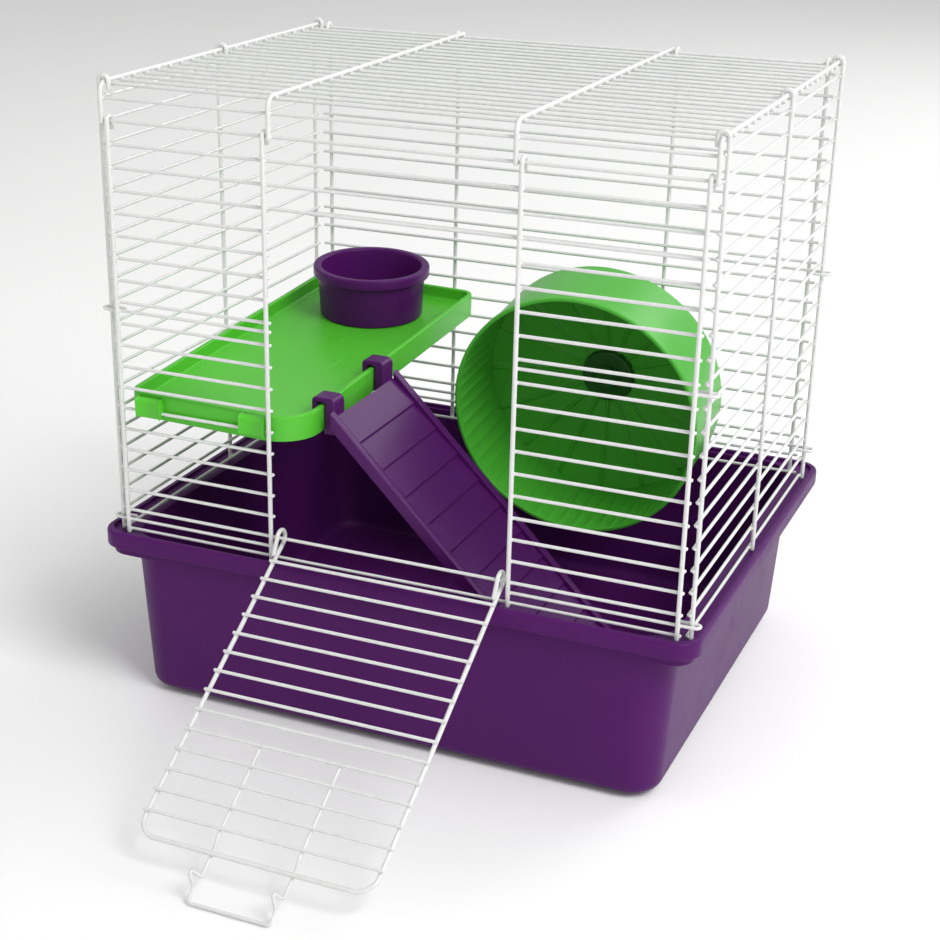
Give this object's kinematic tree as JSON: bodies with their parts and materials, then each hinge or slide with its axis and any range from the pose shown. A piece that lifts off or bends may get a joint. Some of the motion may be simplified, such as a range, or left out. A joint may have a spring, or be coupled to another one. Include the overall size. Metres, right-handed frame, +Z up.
{
  "type": "hamster_cage",
  "caption": "Two-level wire hamster cage with a deep purple base tray, a drop-down wire door with a spring latch, a shelf, a ramp, a food bowl and an exercise wheel",
  "frame": {"origin": "on the table under the centre of the wirework, within the flat underside of the tray's foot", "axes": "+X to the right seen from the door side, +Y from the front to the back, +Z up"},
  "size_m": [0.3671, 0.4762, 0.3733],
  "materials": {
    "wire_white": "satin",
    "tray_purple": "gloss",
    "shelf_green": "satin",
    "ramp_purple": "satin",
    "bowl_purple": "gloss",
    "wheel_green": "satin",
    "hub_dark": "satin",
    "steel": "satin"
  },
  "bodies": {
    "tray": {"tray": "tray_purple"},
    "cage": {"front_panel_uprights": "wire_white", "front_panel_header_bars": "wire_white", "front_panel_sill_bars": "wire_white", "front_panel_left_bars": "wire_white", "front_panel_right_bars": "wire_white", "front_panel_hook_wires": "wire_white", "roof_cross_wires": "wire_white", "roof_bars": "wire_white", "roof_lip_bars": "wire_white", "back_panel_uprights": "wire_white", "back_panel_bars": "wire_white", "back_panel_hook_wires": "wire_white", "left_panel_uprights": "wire_white", "left_panel_bars": "wire_white", "right_panel_uprights": "wire_white", "right_panel_bars": "wire_white", "shelf": "shelf_green", "wheel_bracket": "wheel_green", "wheel_axle": "steel", "axle_cap": "hub_dark"},
    "door": {"door_frame_wire": "wire_white", "door_bars": "wire_white", "door_latch_wire": "wire_white"},
    "wheel": {"wheel_drum": "wheel_green", "wheel_disc": "wheel_green", "wheel_hub": "hub_dark"},
    "ramp": {"inner_ramp": "ramp_purple"},
    "bowl": {"bowl": "bowl_purple"}
  },
  "joints": [
    {"name": "cage_lift", "type": "slide", "parent": "tray", "child": "cage", "axis": [0, 0, 1], "range_m": [0, 0.15]},
    {"name": "door_hinge", "type": "hinge", "parent": "cage", "child": "door", "pos_m": [0, -0.13087, 0.1197], "axis": [-1, 0, 0], "range_deg": [0, 120.7]},
    {"name": "wheel_spin", "type": "hinge", "parent": "cage", "child": "wheel", "pos_m": [0.0445, 0.10662, 0.1591], "axis": [0, 0.9934, 0.1149], "continuous": true},
    {"name": "ramp_lift", "type": "slide", "parent": "cage", "child": "ramp", "axis": [0, 0, 1], "range_m": [0, 0.04]},
    {"name": "bowl_lift", "type": "slide", "parent": "cage", "child": "bowl", "axis": [0.0262, -0.0419, 0.9988], "range_m": [0, 0.05]}
  ]
}
